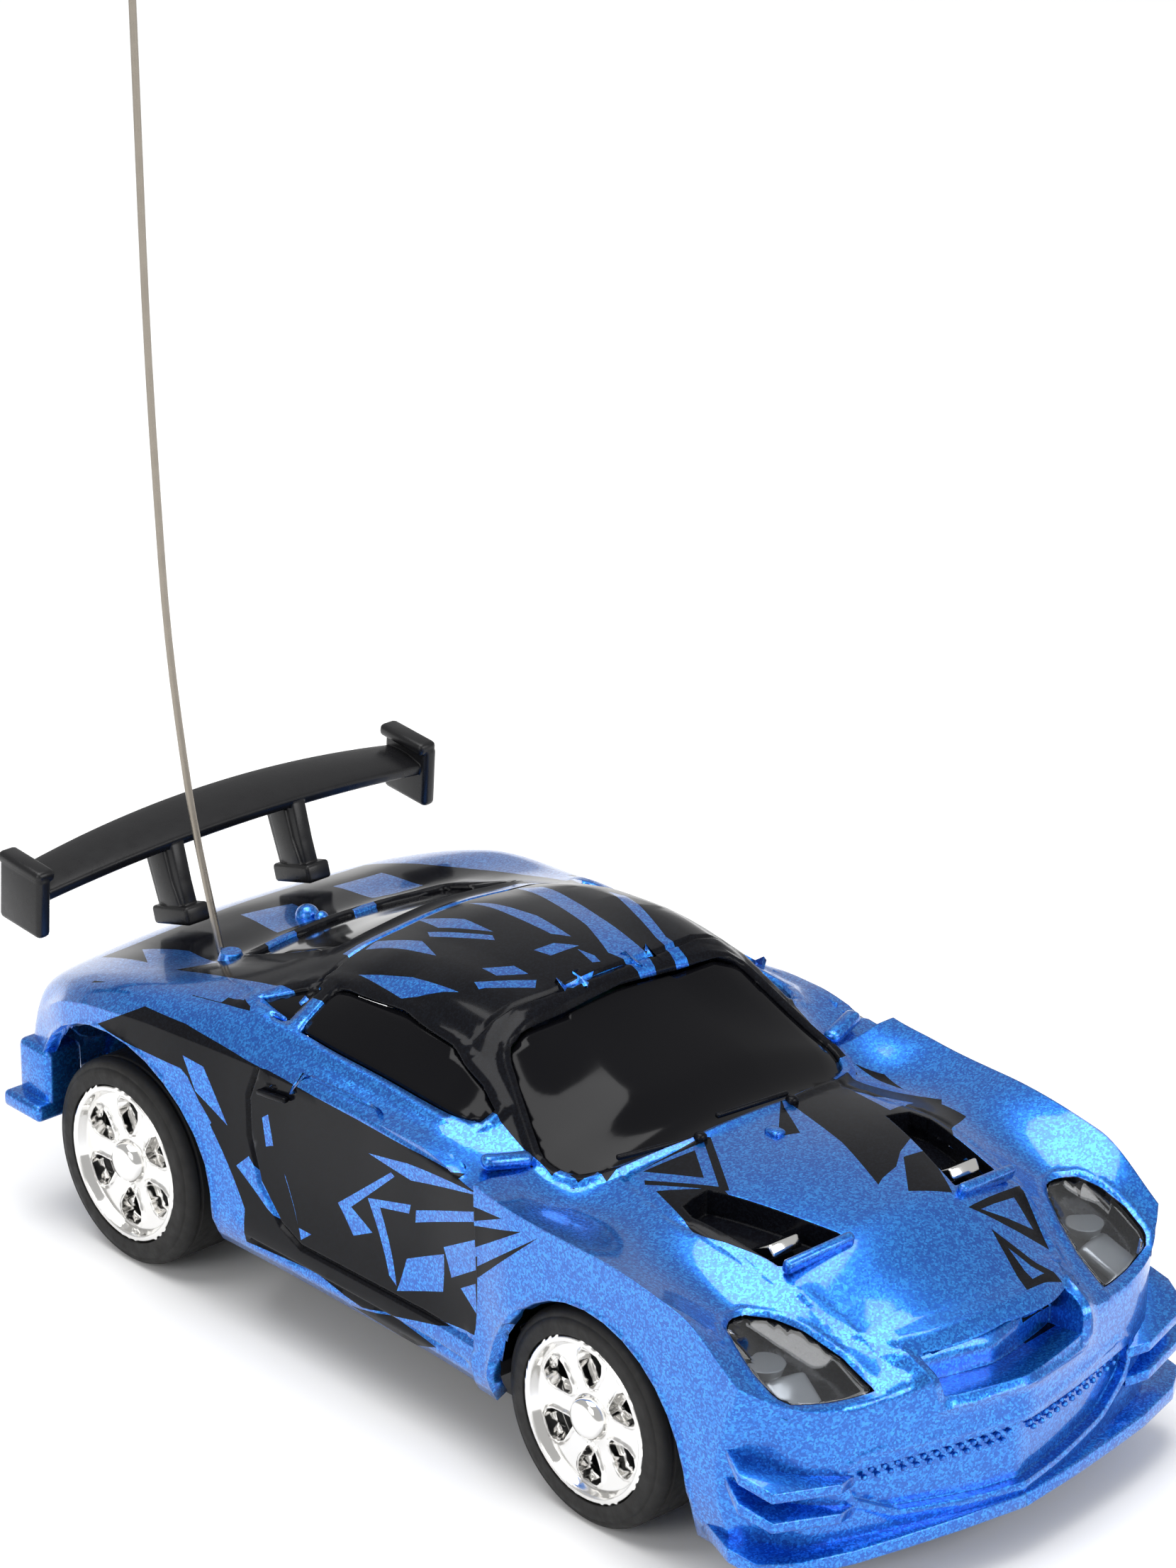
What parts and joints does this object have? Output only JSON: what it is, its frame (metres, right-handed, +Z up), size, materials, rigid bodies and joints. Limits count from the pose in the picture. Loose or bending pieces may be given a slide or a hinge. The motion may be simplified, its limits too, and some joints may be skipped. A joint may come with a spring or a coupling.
{
  "type": "remote control car",
  "caption": "Miniature remote control race coupe with rear wing, whip antenna, steering linkage, rear geared motor and separate shell, windows and wheels.",
  "frame": {"origin": "on the ground under the centre of the car's overall box, wheels straight ahead", "axes": "+Z up along the antenna, +X to the car's left, nose towards -Y"},
  "size_m": [0.0372, 0.0803, 0.11],
  "materials": {
    "chassis_plastic": "satin moulded",
    "body_paint": "metallic blue lacquer with black livery over plastic",
    "dark_window": "gloss",
    "clear_lens": "clear polished plastic",
    "wing_plastic": "satin",
    "copper_winding": "enamelled copper wire",
    "brass_parts": "turned",
    "plated_steel": "nickel plated",
    "spring_steel": "drawn wire",
    "magnet_ferrite": "sintered",
    "board_resin": "solder mask",
    "chip_resin": "matt",
    "capacitor_sleeve": "shrink sleeve",
    "battery_sleeve": "shrink sleeve",
    "red_wire": "insulation",
    "black_wire": "insulation",
    "gear_nylon": "natural nylon",
    "chrome_rim": "vacuum-plated plastic",
    "tyre_rubber": "soft rubber"
  },
  "bodies": {
    "chassis": {"chassis_pan": "chassis_plastic", "body_shell": "body_paint", "windshield": "dark_window", "rear_window": "dark_window", "side_window_left": "dark_window", "side_window_right": "dark_window", "headlight_lens_left": "clear_lens", "headlight_lens_right": "clear_lens", "rear_wing": "wing_plastic", "front_cover": "chassis_plastic", "coil_bobbins": "chassis_plastic", "steering_coils": "copper_winding", "axle_bushes": "brass_parts", "motor_can": "plated_steel", "motor_magnets": "magnet_ferrite", "motor_end_bell": "chassis_plastic", "motor_clamp": "chassis_plastic", "circuit_board": "board_resin", "receiver_chip": "chip_resin", "driver_chip": "chip_resin", "crystal_can": "plated_steel", "capacitor": "capacitor_sleeve", "transistors": "chip_resin", "battery_cell": "battery_sleeve", "battery_contacts": "plated_steel", "switch_housing": "plated_steel", "charging_socket": "chassis_plastic", "antenna_terminal": "brass_parts", "antenna_wire": "spring_steel", "antenna_tip": "chassis_plastic", "motor_lead_red": "red_wire", "motor_lead_black": "black_wire", "battery_lead_red": "red_wire", "battery_lead_black": "black_wire", "antenna_lead": "red_wire", "coil_wires": "black_wire", "body_screws": "plated_steel", "chassis_screws": "plated_steel"},
    "rear_axle": {"rear_axle": "spring_steel", "axle_gear": "gear_nylon", "rear_rim_left": "chrome_rim", "rear_rim_right": "chrome_rim", "rear_tyre_left": "tyre_rubber", "rear_tyre_right": "tyre_rubber"},
    "motor_rotor": {"motor_shaft": "spring_steel", "motor_rotor": "copper_winding", "pinion": "brass_parts"},
    "steer_left": {"knuckle_left": "chassis_plastic", "stub_axle_left": "spring_steel"},
    "steer_right": {"knuckle_right": "chassis_plastic", "stub_axle_right": "spring_steel"},
    "front_wheel_left": {"front_rim_left": "chrome_rim", "front_tyre_left": "tyre_rubber"},
    "front_wheel_right": {"front_rim_right": "chrome_rim", "front_tyre_right": "tyre_rubber"},
    "tie_rod": {"tie_rod": "chassis_plastic", "steering_magnet": "plated_steel"},
    "trim_lever": {"trim_lever": "chassis_plastic", "centring_plate": "plated_steel"},
    "switch_slider": {"switch_slider": "chassis_plastic"}
  },
  "joints": [
    {"name": "rear_axle_spin", "type": "hinge", "parent": "chassis", "child": "rear_axle", "pos_m": [0, 0.0268, 0.0072], "axis": [1, 0, 0], "continuous": true},
    {"name": "motor_spin", "type": "hinge", "parent": "chassis", "child": "motor_rotor", "pos_m": [0, 0.02191, 0.00824], "axis": [1, 0, 0], "continuous": true},
    {"name": "steer_left_turn", "type": "hinge", "parent": "chassis", "child": "steer_left", "pos_m": [0.009, -0.0192, 0.0072], "axis": [0, 0, 1], "range_deg": [-18, 18], "stiffness_Nm_per_rad": 0.0002},
    {"name": "steer_right_turn", "type": "hinge", "parent": "chassis", "child": "steer_right", "pos_m": [-0.009, -0.0192, 0.0072], "axis": [0, 0, 1], "range_deg": [-18, 18]},
    {"name": "tie_rod_slide", "type": "slide", "parent": "chassis", "child": "tie_rod", "axis": [1, 0, 0], "range_m": [-0.0013, 0.0013]},
    {"name": "front_wheel_left_spin", "type": "hinge", "parent": "steer_left", "child": "front_wheel_left", "pos_m": [0.014, -0.0192, 0.0072], "axis": [1, 0, 0], "continuous": true},
    {"name": "front_wheel_right_spin", "type": "hinge", "parent": "steer_right", "child": "front_wheel_right", "pos_m": [-0.014, -0.0192, 0.0072], "axis": [1, 0, 0], "continuous": true},
    {"name": "trim_turn", "type": "hinge", "parent": "chassis", "child": "trim_lever", "pos_m": [0, -0.0247, 0.0035], "axis": [0, 0, 1], "range_deg": [-10, 10]},
    {"name": "switch_slide", "type": "slide", "parent": "chassis", "child": "switch_slider", "axis": [0, 1, 0], "range_m": [0, 0.002]}
  ],
  "couplings": [
    {"joint": "motor_spin", "follows": "rear_axle_spin", "ratio": -2.6667},
    {"joint": "steer_right_turn", "follows": "steer_left_turn", "ratio": 1},
    {"joint": "tie_rod_slide", "follows": "steer_left_turn", "m_per_rad": -0.004}
  ]
}
